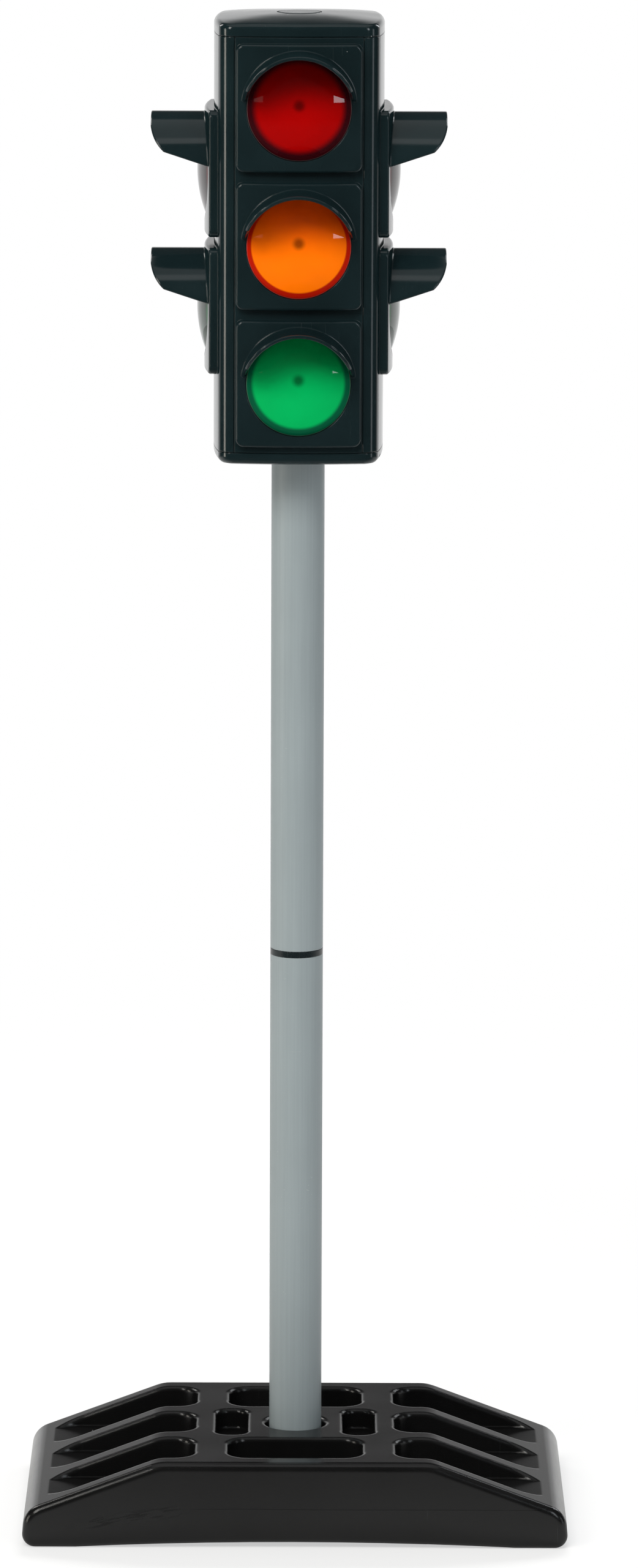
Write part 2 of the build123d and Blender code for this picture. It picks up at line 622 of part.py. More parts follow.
def make_led(height):
    """Round-nosed lamp soldered to its board."""
    nose = BOARD_FRONT + LED_LENGTH
    rim_top = BOARD_FRONT + LED_RIM_HEIGHT
    shoulder = nose - LED_RADIUS
    corner = LED_RADIUS * cos(radians(45))
    outline = [
        ThreePointArc((0, nose), (corner, shoulder + corner), (LED_RADIUS, shoulder)),
        *Polyline((LED_RADIUS, shoulder), (LED_RADIUS, rim_top), (LED_RIM_RADIUS, rim_top),
                  (LED_RIM_RADIUS, BOARD_FRONT), (0, BOARD_FRONT), (0, nose)).edges(),
    ]
    return lamp_turned(outline, height)


def make_lamp_board(screw_heights):
    """Long narrow circuit board behind the lamps of one side."""
    outline = RectangleRounded(2 * BOARD_HALF, 2 * BOARD_REACH, BOARD_CORNER)
    board = Pos(0, LAMP_MIDDLE, BOARD_BACK) * extrude(outline, BOARD_THICKNESS)
    for height in screw_heights:
        board -= Pos(0, height, 0) * extrude(Circle(SMALL_HOLE), BIG)
    return board


def lamp_board_screws():
    """All screws that hold the lamp boards to the bosses of the panels."""
    pieces = []
    for name, (turn, _) in SIDES.items():
        for height in board_screw_heights(name):
            piece = Pos(0, height, BOARD_BACK) * screw(*BOARD_SCREW)
            pieces.append(on_side(piece, turn))
    return Compound(pieces)


def board_screw_heights(side):
    """Heights of the board screws: between the lamps of that side."""
    if side in ("front", "rear"):
        return [SIDE_LOW, SIDE_HIGH]
    return [LOW, LAMP_MIDDLE, HIGH]


# ---------------------------------------------------------------- button, board and batteries
def make_button():
    """Push button with a retaining flange and a stem above the switch."""
    flange_bottom = FLANGE_TOP - FLANGE_HEIGHT
    button = post(BUTTON_RADIUS, flange_bottom, TOTAL_HEIGHT)
    button = fillet(button.faces().sort_by(Axis.Z)[-1].edges(), BUTTON_EDGE_RADIUS)
    button += post(BUTTON_FLANGE, flange_bottom, FLANGE_TOP)
    switch_top = SWITCH_BOARD_TOP + SWITCH_HEIGHT
    return button + post(STEM_RADIUS, switch_top + BUTTON_TRAVEL + TOUCH_GAP, flange_bottom)


def make_button_spring():
    """Spring between the control board and the button's flange."""
    bottom = SWITCH_BOARD_TOP + SPRING_GAP
    top = FLANGE_TOP - FLANGE_HEIGHT - SPRING_GAP
    return coil(*BUTTON_COIL, bottom, top, BUTTON_COIL_TURNS)


def make_chip():
    """Moulded chip on the control board, beside the switch."""
    x, y = CHIP_PLACE
    return block(*CHIP_SIZE, SWITCH_BOARD_TOP, SWITCH_BOARD_TOP + CHIP_HEIGHT, x, y)


def make_switch():
    """Square tact switch with a round plunger."""
    body_top = SWITCH_BOARD_TOP + SWITCH_BODY
    switch = block(SWITCH_SIDE, SWITCH_SIDE, SWITCH_BOARD_TOP, body_top, corner=SWITCH_CORNER)
    return switch + post(PLUNGER_RADIUS, body_top - PLUNGER_ROOT, SWITCH_BOARD_TOP + SWITCH_HEIGHT)


def make_switch_board():
    """Square control board that hangs from the top cap's posts."""
    side = 2 * SWITCH_BOARD_HALF
    board = block(side, side, SWITCH_BOARD_BOTTOM, SWITCH_BOARD_TOP, corner=SWITCH_BOARD_CORNER)
    for x, y in CORNERS:
        place = (x * CAP_POST_POSITION, y * CAP_POST_POSITION)
        board -= post(SMALL_HOLE, SWITCH_BOARD_BOTTOM, SWITCH_BOARD_TOP, *place)
    return board


def cell_places():
    """Centres of the three battery cells."""
    for angle in (90, 210, 330):
        yield CELL_CIRCLE * cos(radians(angle)), CELL_CIRCLE * sin(radians(angle))


def make_battery_holder():
    """Three-bore battery holder with a flange under the control board."""
    flange_bottom = SWITCH_BOARD_BOTTOM - HOLDER_FLANGE
    side = 2 * SWITCH_BOARD_HALF - HOLDER_INSET
    holder = post(HOLDER_RADIUS, HOLDER_BOTTOM, SWITCH_BOARD_BOTTOM)
    holder += block(side, side, flange_bottom, SWITCH_BOARD_BOTTOM, corner=SWITCH_BOARD_CORNER)
    for x, y in cell_places():
        holder -= post(CELL_RADIUS + CELL_GAP, HOLDER_BOTTOM + HOLDER_FLOOR, SWITCH_BOARD_BOTTOM, x, y)
    for x, y in CORNERS:
        place = (x * CAP_POST_POSITION, y * CAP_POST_POSITION)
        holder -= post(SMALL_HOLE, flange_bottom, SWITCH_BOARD_BOTTOM, *place)
    return holder


def battery_cells():
    """Three round cells with a positive nub on top."""
    cells = []
    for x, y in cell_places():
        cell = post(CELL_RADIUS, CELL_BOTTOM, NUB_TOP - NUB_LENGTH, x, y)
        cell = fillet(cell.edges(), CELL_EDGE_RADIUS)
        cells.append(cell + post(NUB_RADIUS, NUB_TOP - NUB_LENGTH - NUB_ROOT, NUB_TOP, x, y))
    return Compound(cells)


def contact_plates():
    """Flat contacts between the cells' nubs and the control board."""
    top = SWITCH_BOARD_BOTTOM - SPRING_GAP
    return Compound([post(CONTACT_RADIUS, NUB_TOP, top, x, y) for x, y in cell_places()])


def contact_springs():
    """Springs under the cells."""
    ends = (HOLDER_BOTTOM + HOLDER_FLOOR + SPRING_GAP, CELL_BOTTOM - SPRING_GAP)
    return Compound([coil(*CONTACT_COIL, *ends, CONTACT_COIL_TURNS, x, y) for x, y in cell_places()])


def control_board_screws():
    """Screws through the holder's flange and the board into the top cap's posts."""
    bottom = SWITCH_BOARD_BOTTOM - HOLDER_FLANGE
    piece = screw(*CONTROL_SCREW)
    places = [(x * CAP_POST_POSITION, y * CAP_POST_POSITION, bottom) for x, y in CORNERS]
    return Compound([Pos(*place) * piece for place in places])


def bottom_cap_screws():
    """Screws that clamp the bottom cap to the corner posts."""
    bottom = HEAD_BOTTOM + CAP_SCREW_RECESS_DEPTH
    piece = screw(*CAP_SCREW)
    places = [(x * CHANNEL_POSITION, y * CHANNEL_POSITION, bottom) for x, y in CORNERS]
    return Compound([Pos(*place) * piece for place in places])


def lamp_leads():
    """One lead from each lamp board over the edge of the control board."""
    outer = BOARD_BACK - LEAD_RADIUS - SPRING_GAP
    corners = [(outer, LEAD_BOTTOM), (outer, LEAD_TOP), (LEAD_INNER, LEAD_TOP),
               (LEAD_INNER, SWITCH_BOARD_TOP + SPRING_GAP)]
    path = FilletPolyline(*corners, radius=LEAD_BEND)
    section = Plane(origin=path @ 0, z_dir=path % 0) * Circle(LEAD_RADIUS)
    lead = Rot(90, 0, 0) * sweep(section, path=path)
    return Compound([Rot(0, 0, turn) * lead for turn in (0, 90, 180, 270)])


# ---------------------------------------------------------------- build every node
save(make_base(), "base_body")
save(tube(WELL_FLOOR + TOUCH_GAP, RING_BOTTOM), "lower_tube")
save(make_coupler(), "joint_coupler")
save(tube(RING_TOP, POLE_TOP), "upper_tube")

save(make_head_core(), "head_core")
save(make_bottom_cap(), "bottom_cap")
save(make_top_cap(), "top_cap")
save(bottom_cap_screws(), "bottom_cap_screws")

for side, (turn, lamps) in SIDES.items():
    heights = board_screw_heights(side)
    save(on_side(make_panel(lamps.values(), heights), turn), f"{side}_panel")
    save(on_side(make_lamp_board(heights), turn), f"{side}_lamp_board")
    for colour, height in lamps.items():
        save(on_side(make_lens(height), turn), f"{side}_{colour}_lens")
        save(on_side(make_reflector(height), turn), f"{side}_{colour}_reflector")
        save(on_side(make_led(height), turn), f"{side}_{colour}_led")
save(lamp_board_screws(), "lamp_board_screws")
save(lamp_leads(), "lamp_leads")

save(make_button(), "push_button")
save(make_button_spring(), "button_spring")
save(make_switch(), "tact_switch")
save(make_switch_board(), "control_board")
save(make_chip(), "control_chip")
save(control_board_screws(), "control_board_screws")
save(make_battery_holder(), "battery_holder")
save(battery_cells(), "battery_cells")
save(contact_plates(), "contact_plates")
save(contact_springs(), "contact_springs")
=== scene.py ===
import json
from math import cos, radians, sin

import bpy
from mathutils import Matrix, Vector


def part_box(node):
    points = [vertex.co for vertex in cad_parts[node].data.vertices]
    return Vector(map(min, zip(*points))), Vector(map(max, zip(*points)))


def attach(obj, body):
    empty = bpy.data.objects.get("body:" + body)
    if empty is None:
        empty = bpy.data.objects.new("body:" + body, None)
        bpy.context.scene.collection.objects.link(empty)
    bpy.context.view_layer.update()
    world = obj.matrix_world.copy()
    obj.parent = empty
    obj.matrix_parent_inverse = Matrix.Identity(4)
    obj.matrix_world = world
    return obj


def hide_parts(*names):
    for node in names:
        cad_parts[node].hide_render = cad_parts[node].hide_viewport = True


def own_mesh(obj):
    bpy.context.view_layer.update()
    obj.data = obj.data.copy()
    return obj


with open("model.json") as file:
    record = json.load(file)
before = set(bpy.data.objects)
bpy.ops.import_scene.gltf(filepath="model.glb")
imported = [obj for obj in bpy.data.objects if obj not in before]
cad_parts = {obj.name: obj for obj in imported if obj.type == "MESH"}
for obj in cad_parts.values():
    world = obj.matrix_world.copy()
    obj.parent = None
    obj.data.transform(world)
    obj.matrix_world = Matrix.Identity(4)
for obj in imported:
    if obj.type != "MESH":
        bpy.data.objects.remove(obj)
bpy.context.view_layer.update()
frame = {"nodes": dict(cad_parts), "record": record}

# Looks of a free-standing toy traffic light. Metres, same frame as the CAD: front faces -Y.

MM = 0.001

# camera and stage
CAMERA_PLACE = (0.0, -3.617, 1.051)
CAMERA_PITCH = 10.904            # degrees below the horizon
CAMERA_ROLL = -0.18
CAMERA_LENS = 178.5
CAMERA_SHIFT = 0.0110            # the pole stands left of the picture's middle
FLOOR_RADIUS = 2.6
FLOOR_RINGS = 24
FLOOR_SPOKES = 96
FLOOR_COLOUR = (0.86, 0.86, 0.855)
FLOOR_FADE = (0.15, 1.2)         # between these distances the floor turns white to the camera
FLOOR_FADE_START = 0.55          # share of white glow that it starts with, which lightens the floor's shadow near the object
FLOOR_MIRRORED_Y = (-0.5, 0.25)  # the floor in front looks dark in the glossy plastic, the one behind bright
FLOOR_MIRRORED = (0.03, 0.9)
WALL_TOP = 0.32                  # sine of the angle up to the top of the bright wall behind
WALL_Y = (0.35, 0.80)            # the wall fades in between these shares of straight behind
WALL_GLOW = 0.95
ROOM_GLOW = 0.03                 # what the rest of the room adds to reflections
ROOM_SOFT = 0.16                 # what the room adds to soft light

LIGHTS = [
    # name, azimuth, elevation, distance, width, height, watts, colour, target's height, seen in reflections
    ("key", -16.0, 42.0, 2.6, 1.1, 1.0, 45.5, (1.0, 0.995, 0.98), 0.45, False),
    ("right_window", 37.0, 0.0, 2.6, 0.46, 1.30, 9.0, (0.88, 0.95, 1.0), 1.335, True),
    ("right_wall", 72.0, 0.0, 3.0, 0.5, 1.6, 4.5, (0.9, 0.95, 1.0), 0.35, True),
    ("left_window", -43.0, 28.0, 2.6, 0.50, 1.10, 18.0, (1.0, 0.98, 0.93), 0.62, True),
    ("left_glow", -38.0, 0.0, 2.6, 0.40, 0.30, 0.13, (1.0, 0.97, 0.92), 0.84, True),
    ("left_wall", -74.0, 0.0, 3.0, 0.5, 1.6, 17.0, (1.0, 0.95, 0.85), 0.35, True),
    ("front_top", 0.0, 64.0, 2.6, 1.6, 0.5, 1.2, (1.0, 1.0, 1.0), 0.45, True),
    ("right_fill", 68.0, 10.0, 2.8, 0.8, 1.4, 3.0, (0.84, 0.93, 1.0), 0.45, False),
    ("ceiling", 0.0, 88.0, 2.6, 3.0, 3.0, 12.0, (1.0, 1.0, 1.0), 0.45, True),
    ("rear_key", 172.0, 42.0, 2.8, 1.2, 1.0, 46.0, (1.0, 1.0, 1.0), 0.45, False),
    ("rear_window_a", 140.0, 24.0, 2.8, 0.60, 1.2, 12.0, (0.94, 0.97, 1.0), 0.62, True),
    ("rear_window_b", -140.0, 26.0, 2.8, 0.60, 1.0, 10.0, (1.0, 0.98, 0.95), 0.62, True),
]

# lamp geometry that the lens looks follow
LAMP_MIDDLE = 615.0 * MM
LAMP_PITCH = 64.0 * MM
LENS_DISC = 22.2 * MM            # radius of the bright reflector seen through a lens
DISC_PLANE = 37.7 * MM           # distance of the reflector's front from the pole's axis
DOT_PLANE = 29.9 * MM            # distance of the lamp's nose from the pole's axis
DOME_CENTRE = -10.4 * MM         # centre of the lens's dome, measured outwards from the pole's axis
LENS_EDGE = 24.2 * MM
LENS_EDGE_BLEND = (0.8 * MM, 0.2 * MM)   # the dome's normal gives way to the rounded edge's between these
LENS_SHADE = (-9.0 * MM, 17.0 * MM)      # the disc turns from its lower colour to its upper, darker one between these: painted shade of the hood
DOT_RADII = (0.8 * MM, 4.0 * MM)         # full and vanishing darkness of the spot of painted shade over the lamp
DOT_STRENGTH = 0.92
DOT_SHADE_TONE = 0.28
HIGHLIGHT_WIDTHS = (0.08 * MM, 0.35 * MM)    # painted highlight: a fine light line where the lens meets its seat
HIGHLIGHT_STRENGTH = 0.10
HIGHLIGHT_COLOUR = (0.75, 0.75, 0.72)
GRAZING = (0.12, 0.6)                    # cosines between which a lens seen edge on darkens: painted shade
GRAZING_TONE = 0.25

# pole and battery cells
POLE_GREY = (0.258, 0.297, 0.306)
POLE_SCUFF = (0.46, 0.48, 0.48)
CELL_BAND = (676.0 * MM, 676.4 * MM)         # where the sleeve changes colour
CELL_TOP = (689.6 * MM, 689.9 * MM)
CELL_FOOT = (641.3 * MM, 641.6 * MM)

# marks on the base
PARTING_HEIGHT = 19.6 * MM       # moulding line round the base's walls
PARTING_WIDTHS = (0.12 * MM, 0.35 * MM)
PARTING_START = (-60.0 * MM, -40.0 * MM)     # the line shows to the right of here
WALL_FROM = 70.0 * MM            # the base's front and rear walls lie beyond this distance
SCUFF_LEFT = (-112.0 * MM, -95.0 * MM)
SCUFF_RIGHT = (-62.0 * MM, -42.0 * MM)
SCUFF_SLOPE = 0.16               # the band of scuffs climbs to the right
SCUFF_FOOT = (-110.0 * MM, 10.0 * MM)        # a point on its middle
SCUFF_SPREAD = (1.0 * MM, 4.5 * MM)
SCUFF_LEAN = 12.0
BASE_MARK = (0.0012, 0.0012, 0.0012)
LINE_MARK = (0.002, 0.002, 0.002)

# spring under the button
COIL_RADIUS = 5.4 * MM          # middle of the wire
COIL_WIRE = 0.4 * MM            # radius of the wire
COIL_TURNS = 5
COIL_STEPS = 160
COIL_SIDES = 12


# ---------------------------------------------------------------- node helpers
class Graph:
    """Small wrapper that adds nodes to a material or world and wires them up."""

    def __init__(self, tree):
        self.tree = tree
        self.tree.nodes.clear()

    def add(self, kind, settings=None, **inputs):
        node = self.tree.nodes.new(kind)
        for key, value in (settings or {}).items():
            setattr(node, key, value)
        for key, value in inputs.items():
            self.plug(node.inputs[key.replace("_", " ")], value)
        return node

    def plug(self, socket, value):
        if isinstance(value, bpy.types.NodeSocket):
            self.tree.links.new(value, socket)
        elif isinstance(value, bpy.types.Node):
            self.tree.links.new(value.outputs[0], socket)
        elif isinstance(value, tuple) and len(value) == 3 and socket.type == "RGBA":
            socket.default_value = (*value, 1.0)
        else:
            socket.default_value = value

    def math(self, operation, *values):
        node = self.tree.nodes.new("ShaderNodeMath")
        node.operation = operation
        for socket, value in zip(node.inputs, values):
            self.plug(socket, value)
        return node.outputs[0]

    def vector_math(self, operation, *values):
        node = self.tree.nodes.new("ShaderNodeVectorMath")
        node.operation = operation
        for socket, value in zip(node.inputs, values):
            self.plug(socket, value)
        return node.outputs[0]

    def mix(self, factor, a, b, blend="MIX"):
        node = self.tree.nodes.new("ShaderNodeMix")
        node.data_type = "RGBA"
        node.blend_type = blend
        self.plug(node.inputs[0], factor)
        self.plug(node.inputs[6], a)
        self.plug(node.inputs[7], b)
        return node.outputs[2]

    def ramp(self, value, low, high, out_low=0.0, out_high=1.0):
        """Smooth step from out_low to out_high while value goes from low to high."""
        node = self.tree.nodes.new("ShaderNodeMapRange")
        node.interpolation_type = "SMOOTHSTEP"
        for socket, number in zip(node.inputs, (value, low, high, out_low, out_high)):
            self.plug(socket, number)
        return node.outputs[0]

    def place(self):
        """Coordinates fixed to the piece, in metres."""
        return self.add("ShaderNodeTexCoord").outputs["Object"]

    def stretch(self, vector, x, y, z):
        return self.vector_math("MULTIPLY", vector, (x, y, z))

    def noise(self, vector, scale, detail=2.0, roughness=0.5):
        node = self.add("ShaderNodeTexNoise", Vector=vector, Scale=scale, Detail=detail, Roughness=roughness)
        return node.outputs[0]

    def parts(self, vector):
        node = self.add("ShaderNodeSeparateXYZ", Vector=vector)
        return node.outputs[0], node.outputs[1], node.outputs[2]


def new_material(name):
    material = bpy.data.materials.new(name)
    material.use_nodes = True
    return material, Graph(material.node_tree)


def finish_material(graph, shader):
    output = graph.add("ShaderNodeOutputMaterial")
    graph.tree.links.new(shader.outputs[0], output.inputs["Surface"])


def soft_edges(graph, radius):
    """Normal with every sharp edge rounded, as on any moulding."""
    return graph.add("ShaderNodeBevel", {"samples": 4}, Radius=radius).outputs[0]


def specks(graph, place, cell, size, share):
    """Mask of a few tiny dust specks: one possible speck in each cell, only some cells have it."""
    node = graph.add("ShaderNodeTexVoronoi", Vector=place, Scale=1.0 / cell)
    dot = graph.ramp(node.outputs["Distance"], size / cell * 0.6, size / cell, 1.0, 0.0)
    pick = graph.parts(node.outputs["Color"])[0]
    return graph.math("MULTIPLY", dot, graph.math("LESS_THAN", pick, share))


def hairlines(graph, place, direction, density):
    """Mask of fine straight rub marks along one direction, in patches."""
    fine = [density * 14.0] * 3
    fine[direction] = density * 0.35
    lines = graph.noise(graph.stretch(place, *fine), 1.0, 2.0, 0.6)
    patch = graph.noise(place, 22.0, 2.0)
    sharp = graph.ramp(lines, 0.66, 0.74)
    return graph.math("MULTIPLY", sharp, graph.ramp(patch, 0.5, 0.68))


def parting_marks(graph, place):
    """Masks of the base's parting line and of the dark scuffs on the left of its front."""
    x, y, z = graph.parts(place)
    wander = graph.math("MULTIPLY", graph.math("SUBTRACT", graph.noise(place, 25.0, 1.0), 0.5), 0.5 * MM)
    off = graph.math("ABSOLUTE", graph.math("SUBTRACT", graph.math("ADD", z, wander), PARTING_HEIGHT))
    wall = graph.math("GREATER_THAN", graph.math("ABSOLUTE", y), WALL_FROM)
    line = graph.math("MULTIPLY", graph.ramp(off, *PARTING_WIDTHS, 1.0, 0.0), wall)
    line = graph.math("MULTIPLY", line, graph.ramp(x, *PARTING_START))
    tilted = graph.add("ShaderNodeMapping", Vector=place, Rotation=(0.0, radians(SCUFF_LEAN), 0.0))
    streaks = graph.noise(graph.stretch(tilted.outputs[0], 110.0, 300.0, 900.0), 1.0, 4.0, 0.65)
    along = graph.math("MULTIPLY", graph.ramp(x, *SCUFF_LEFT), graph.ramp(x, *SCUFF_RIGHT, 1.0, 0.0))
    past = graph.math("SUBTRACT", x, SCUFF_FOOT[0])
    middle = graph.math("ADD", graph.math("MULTIPLY", past, SCUFF_SLOPE), SCUFF_FOOT[1])
    away = graph.math("ABSOLUTE", graph.math("SUBTRACT", z, middle))
    band = graph.math("MULTIPLY", along, graph.ramp(away, *SCUFF_SPREAD, 1.0, 0.0))
    front = graph.math("LESS_THAN", y, -WALL_FROM)
    scuff = graph.math("MULTIPLY", graph.ramp(streaks, 0.50, 0.60), graph.math("MULTIPLY", band, front))
    return line, scuff


def moulded(name, colour, roughness, grain=1400.0, grain_depth=0.006, edge=0.25, dust=0.0,
            variation=0.12, rub=0.5, parting=False):
    """Moulded plastic: fine skin texture, uneven sheen, rub marks and a little dust."""
    material, g = new_material(name)
    place = g.place()
    wide = g.noise(place, 28.0, 3.0, 0.55)
    fine = g.noise(place, grain, 3.0, 0.6)
    marks = hairlines(g, place, 2, 90.0)
    tint = g.ramp(wide, 0.3, 0.7, 1.0 - variation, 1.0 + variation)
    base = g.vector_math("SCALE", colour)
    g.plug(base.node.inputs["Scale"], tint)
    base = g.mix(g.math("MULTIPLY", marks, rub * 0.10), base, (0.25, 0.26, 0.26))
    sheen = g.math("ADD", g.ramp(wide, 0.25, 0.75, roughness * 0.85, roughness * 1.15),
                   g.math("MULTIPLY", marks, rub * 0.18))
    sheen = g.math("ADD", sheen, g.math("MULTIPLY", g.math("SUBTRACT", fine, 0.5), 0.06))
    if dust:
        grains = specks(g, place, 5.5 * MM, 0.28 * MM, dust)
        base = g.mix(g.math("MULTIPLY", grains, 0.8), base, (0.55, 0.56, 0.54))
        sheen = g.math("ADD", sheen, g.math("MULTIPLY", grains, 0.4))
    height = g.math("ADD", g.math("MULTIPLY", fine, grain_depth), g.math("MULTIPLY", wide, grain_depth * 4))
    if parting:
        line, scuff = parting_marks(g, place)
        base = g.mix(g.math("MULTIPLY", scuff, 0.75), base, BASE_MARK)
        base = g.mix(g.math("MULTIPLY", line, 0.5), base, LINE_MARK)
        sheen = g.math("ADD", sheen, g.math("MULTIPLY", scuff, 0.2))
        height = g.math("SUBTRACT", height, g.math("MULTIPLY", line, 0.02))
    bump = g.add("ShaderNodeBump", Strength=1.0, Distance=MM, Height=height, Normal=soft_edges(g, edge * MM))
    shader = g.add("ShaderNodeBsdfPrincipled", Base_Color=base, Roughness=sheen, Normal=bump)
    once = g.math("SUBTRACT", 1.0, g.add("ShaderNodeLightPath").outputs["Is Glossy Ray"])
    g.plug(shader.inputs["Specular IOR Level"], g.math("MULTIPLY", once, 0.5))
    finish_material(g, shader)
    return material


def pole_material():
    """Satin extruded tube: faint draw lines along it and a slightly uneven sheen."""
    material, g = new_material("pole_satin")
    place = g.place()
    draw = g.noise(g.stretch(place, 900.0, 900.0, 9.0), 1.0, 3.0, 0.6)
    wide = g.noise(place, 16.0, 2.0)
    grain = g.noise(place, 2600.0, 2.0)
    tone = g.math("ADD", g.ramp(draw, 0.3, 0.7, 0.965, 1.03), g.ramp(wide, 0.3, 0.7, -0.03, 0.03))
    base = g.vector_math("SCALE", POLE_GREY)
    g.plug(base.node.inputs["Scale"], tone)
    scuff = g.math("MULTIPLY", hairlines(g, place, 0, 60.0), 0.35)
    base = g.mix(scuff, base, POLE_SCUFF)
    sheen = g.math("ADD", g.ramp(draw, 0.3, 0.7, 0.36, 0.48), g.math("MULTIPLY", scuff, 0.3))
    height = g.math("ADD", g.math("MULTIPLY", draw, 0.006), g.math("MULTIPLY", grain, 0.004))
    bump = g.add("ShaderNodeBump", Strength=1.0, Distance=MM, Height=height, Normal=soft_edges(g, 0.5 * MM))
    shader = g.add("ShaderNodeBsdfPrincipled", Base_Color=base, Roughness=sheen, Normal=bump)
    finish_material(g, shader)
    return material


def lens_material(name, side, height, lower, shaded_upper, rim, blur):
    """Tinted lens: bright reflector disc and the lamp seen under a clear, glossy skin, with painted shade
    (the disc's upper part, a soft dark spot over the lamp, the lens seen edge on) and a painted highlight
    line round its edge.
    """
    material, g = new_material(name)
    place = g.place()
    x, y, z = g.parts(place)
    seen = g.add("ShaderNodeVectorTransform",
                 {"vector_type": "VECTOR", "convert_from": "WORLD", "convert_to": "OBJECT"},
                 Vector=g.add("ShaderNodeNewGeometry").outputs["Incoming"])
    ix, iy, iz = g.parts(seen.outputs[0])
    across, ia, outwards, io = (x, ix, y, iy) if side in ("front", "rear") else (y, iy, x, ix)
    sign = {"front": -1.0, "rear": 1.0, "left": -1.0, "right": 1.0}[side]
    out = g.math("MULTIPLY", outwards, sign)
    facing = g.math("MAXIMUM", g.math("MULTIPLY", io, sign), GRAZING[0])
    up = g.math("SUBTRACT", z, height)

    def radius_at(plane):
        """Distance from the lamp's axis of the point seen on a plane behind the skin, and its height."""
        step = g.math("DIVIDE", g.math("SUBTRACT", out, plane), facing)
        a = g.math("SUBTRACT", across, g.math("MULTIPLY", ia, step))
        b = g.math("SUBTRACT", up, g.math("MULTIPLY", iz, step))
        return g.math("SQRT", g.math("ADD", g.math("MULTIPLY", a, a), g.math("MULTIPLY", b, b))), b

    disc_radius, disc_up = radius_at(DISC_PLANE)
    dot_radius = radius_at(DOT_PLANE)[0]
    inside = g.ramp(disc_radius, LENS_DISC - blur, LENS_DISC + 0.3 * MM, 1.0, 0.0)
    cloud = g.noise(place, 60.0, 2.0)
    # painted shade of the hood: the disc's colour turns darker towards its top
    bright = g.vector_math("SCALE", g.mix(g.ramp(disc_up, *LENS_SHADE), lower, shaded_upper))
    g.plug(bright.node.inputs["Scale"], g.ramp(cloud, 0.3, 0.7, 0.97, 1.03))
    base = g.mix(inside, rim, bright)
    # painted shade: a soft dark spot over the lamp, in the hollow where it sits
    dark = g.vector_math("SCALE", bright)
    g.plug(dark.node.inputs["Scale"], DOT_SHADE_TONE)
    base = g.mix(g.ramp(dot_radius, *DOT_RADII, DOT_STRENGTH, 0.0), base, dark)
    plain = g.math("SQRT", g.math("ADD", g.math("MULTIPLY", across, across), g.math("MULTIPLY", up, up)))
    # painted highlight: a fine light line round the lens's edge
    highlight_offset = g.math("ABSOLUTE", g.math("SUBTRACT", plain, LENS_EDGE))
    base = g.mix(g.ramp(highlight_offset, *HIGHLIGHT_WIDTHS, HIGHLIGHT_STRENGTH, 0.0), base, HIGHLIGHT_COLOUR)
    # painted shade: the lens darker when seen edge on
    grazing = g.vector_math("SCALE", base)
    g.plug(grazing.node.inputs["Scale"], g.ramp(facing, *GRAZING, GRAZING_TONE, 1.0))
    centre = DOME_CENTRE * sign
    middle = (0.0, centre, height) if side in ("front", "rear") else (centre, 0.0, height)
    dome = g.vector_math("NORMALIZE", g.vector_math("SUBTRACT", place, middle))
    dome = g.add("ShaderNodeVectorTransform",
                 {"vector_type": "NORMAL", "convert_from": "OBJECT", "convert_to": "WORLD"},
                 Vector=dome).outputs[0]
    blend = g.ramp(plain, LENS_EDGE - LENS_EDGE_BLEND[0], LENS_EDGE - LENS_EDGE_BLEND[1])
    normal = g.mix(blend, dome, soft_edges(g, 0.6 * MM))
    fine = g.noise(place, 900.0, 2.0)
    bump = g.add("ShaderNodeBump", Strength=1.0, Distance=MM, Height=g.math("MULTIPLY", fine, 0.0015),
                 Normal=normal)
    shader = g.add("ShaderNodeBsdfPrincipled", Base_Color=grazing, Roughness=0.6, Normal=bump)
    shader.inputs["Specular IOR Level"].default_value = 0.0
    shader.inputs["Coat Weight"].default_value = 1.0
    shader.inputs["Coat Roughness"].default_value = 0.03
    g.plug(shader.inputs["Coat Normal"], bump)
    finish_material(g, shader)
    return material


def metal(name, colour, roughness, stretch):
    """Bright metal with fine draw marks."""
    material, g = new_material(name)
    place = g.place()
    marks = g.noise(g.stretch(place, *stretch), 1.0, 3.0, 0.6)
    stain = g.noise(place, 120.0, 2.0)
    base = g.vector_math("SCALE", colour)
    g.plug(base.node.inputs["Scale"], g.ramp(stain, 0.3, 0.75, 0.85, 1.05))
    sheen = g.ramp(marks, 0.3, 0.7, roughness * 0.7, roughness * 1.3)
    bump = g.add("ShaderNodeBump", Strength=0.5, Distance=0.02 * MM, Height=marks,
                 Normal=soft_edges(g, 0.05 * MM))
    shader = g.add("ShaderNodeBsdfPrincipled", Base_Color=base, Roughness=sheen, Metallic=1.0, Normal=bump)
    finish_material(g, shader)
    return material


def board_material():
    """Green circuit board: solder mask over faint tracks."""
    material, g = new_material("board_mask")
    place = g.place()
    cells = g.add("ShaderNodeTexVoronoi", {"distance": "CHEBYCHEV", "feature": "F1"},
                  Vector=place, Scale=420.0)
    tracks = g.ramp(cells.outputs["Distance"], 0.28, 0.34)
    cloud = g.noise(place, 90.0, 2.0)
    base = g.mix(tracks, (0.020, 0.130, 0.055), (0.035, 0.200, 0.080))
    base = g.mix(g.ramp(cloud, 0.4, 0.7, 0.0, 0.25), base, (0.03, 0.16, 0.09))
    bump = g.add("ShaderNodeBump", Strength=0.6, Distance=0.04 * MM, Height=tracks,
                 Normal=soft_edges(g, 0.1 * MM))
    shader = g.add("ShaderNodeBsdfPrincipled", Base_Color=base, Roughness=0.32, Normal=bump)
    finish_material(g, shader)
    return material


